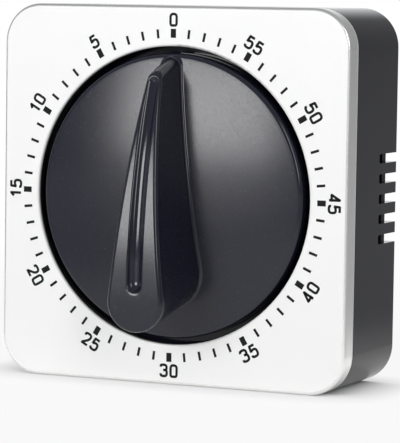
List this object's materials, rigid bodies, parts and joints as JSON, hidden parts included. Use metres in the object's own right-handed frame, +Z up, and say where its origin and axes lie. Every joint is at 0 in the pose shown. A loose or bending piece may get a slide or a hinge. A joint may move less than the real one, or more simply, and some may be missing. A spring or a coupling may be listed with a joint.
{
  "type": "mechanical kitchen timer",
  "caption": "Square wind-up kitchen timer with a pale metal face, black case, domed knob with a wing grip, wheel movement, bell and magnetic back.",
  "frame": {"origin": "centre of the case's flat bottom face", "axes": "+Z up, -Y out of the face towards the user, +X to the user's right"},
  "size_m": [0.08, 0.0447, 0.08],
  "materials": {
    "face_metal": "satin, with a printed minute scale",
    "case_plastic": "high gloss black",
    "cover_plastic": "fine moulded texture",
    "knob_plastic": "satin black",
    "screw_steel": "zinc plated",
    "magnet_ferrite": "pressed ferrite",
    "spring_steel": "tempered blue-grey",
    "bell_steel": "nickel plated",
    "arbor_steel": "turned",
    "plate_steel": "stamped, zinc plated",
    "wheel_brass": "stamped brass"
  },
  "bodies": {
    "case": {"face_cap": "face_metal", "case_body": "case_plastic", "back_cover": "cover_plastic", "cover_screws": "screw_steel", "magnets": "magnet_ferrite", "front_plate": "plate_steel", "rear_plate": "plate_steel", "pillars": "arbor_steel", "pillar_screws": "screw_steel", "movement_screws": "screw_steel", "spring_post": "arbor_steel", "stop_post": "arbor_steel", "lever_stud": "arbor_steel", "mainspring": "spring_steel", "bell": "bell_steel", "bell_post": "arbor_steel", "bell_screw": "screw_steel"},
    "knob_set": {"knob": "knob_plastic", "main_arbor": "arbor_steel", "release_cam": "plate_steel", "ratchet_wheel": "plate_steel", "great_wheel": "wheel_brass", "stop_pin": "arbor_steel", "click_pin": "arbor_steel"},
    "click_set": {"click": "plate_steel"},
    "second_set": {"second_wheel": "wheel_brass", "second_pinion": "arbor_steel"},
    "third_set": {"third_wheel": "wheel_brass", "third_pinion": "arbor_steel"},
    "escape_set": {"escape_wheel": "wheel_brass", "escape_pinion": "arbor_steel"},
    "pallet_set": {"pallet_anchor": "plate_steel", "pallet_pins": "arbor_steel", "pallet_arbor": "arbor_steel", "balance_ring": "wheel_brass"},
    "hammer_set": {"hammer_arm": "plate_steel", "hammer_head": "wheel_brass", "hammer_arbor": "arbor_steel", "hammer_tail": "plate_steel"},
    "lever_set": {"release_lever": "plate_steel", "release_finger": "arbor_steel"}
  },
  "joints": [
    {"name": "knob_turn", "type": "hinge", "parent": "case", "child": "knob_set", "pos_m": [0, 0, 0.04], "axis": [0, -1, 0], "range_deg": [0, 348], "deforming": ["mainspring"]},
    {"name": "click_lift", "type": "hinge", "parent": "knob_set", "child": "click_set", "pos_m": [0.005, 0, 0.03134], "axis": [0, -1, 0], "range_deg": [0, 8]},
    {"name": "second_turn", "type": "hinge", "parent": "case", "child": "second_set", "pos_m": [-0.01474, 0, 0.02968], "axis": [0, -1, 0], "range_deg": [-1740, 0]},
    {"name": "third_turn", "type": "hinge", "parent": "case", "child": "third_set", "pos_m": [-0.00203, 0, 0.02292], "axis": [0, -1, 0], "range_deg": [0, 8700]},
    {"name": "escape_turn", "type": "hinge", "parent": "case", "child": "escape_set", "pos_m": [0.01237, 0, 0.02292], "axis": [0, -1, 0], "range_deg": [-43500, 0]},
    {"name": "pallet_rock", "type": "hinge", "parent": "case", "child": "pallet_set", "pos_m": [0.01088, 0, 0.01445], "axis": [0, -1, 0], "range_deg": [-3, 3]},
    {"name": "hammer_swing", "type": "hinge", "parent": "case", "child": "hammer_set", "pos_m": [0.02234, 0, 0.02756], "axis": [0, -1, 0], "range_deg": [-5, 1]},
    {"name": "lever_swing", "type": "hinge", "parent": "case", "child": "lever_set", "pos_m": [0.018, 0, 0.049], "axis": [0, -1, 0], "range_deg": [-1, 6]}
  ],
  "couplings": [
    {"joint": "second_turn", "follows": "knob_turn", "ratio": -5},
    {"joint": "third_turn", "follows": "knob_turn", "ratio": 25},
    {"joint": "escape_turn", "follows": "knob_turn", "ratio": -125}
  ]
}
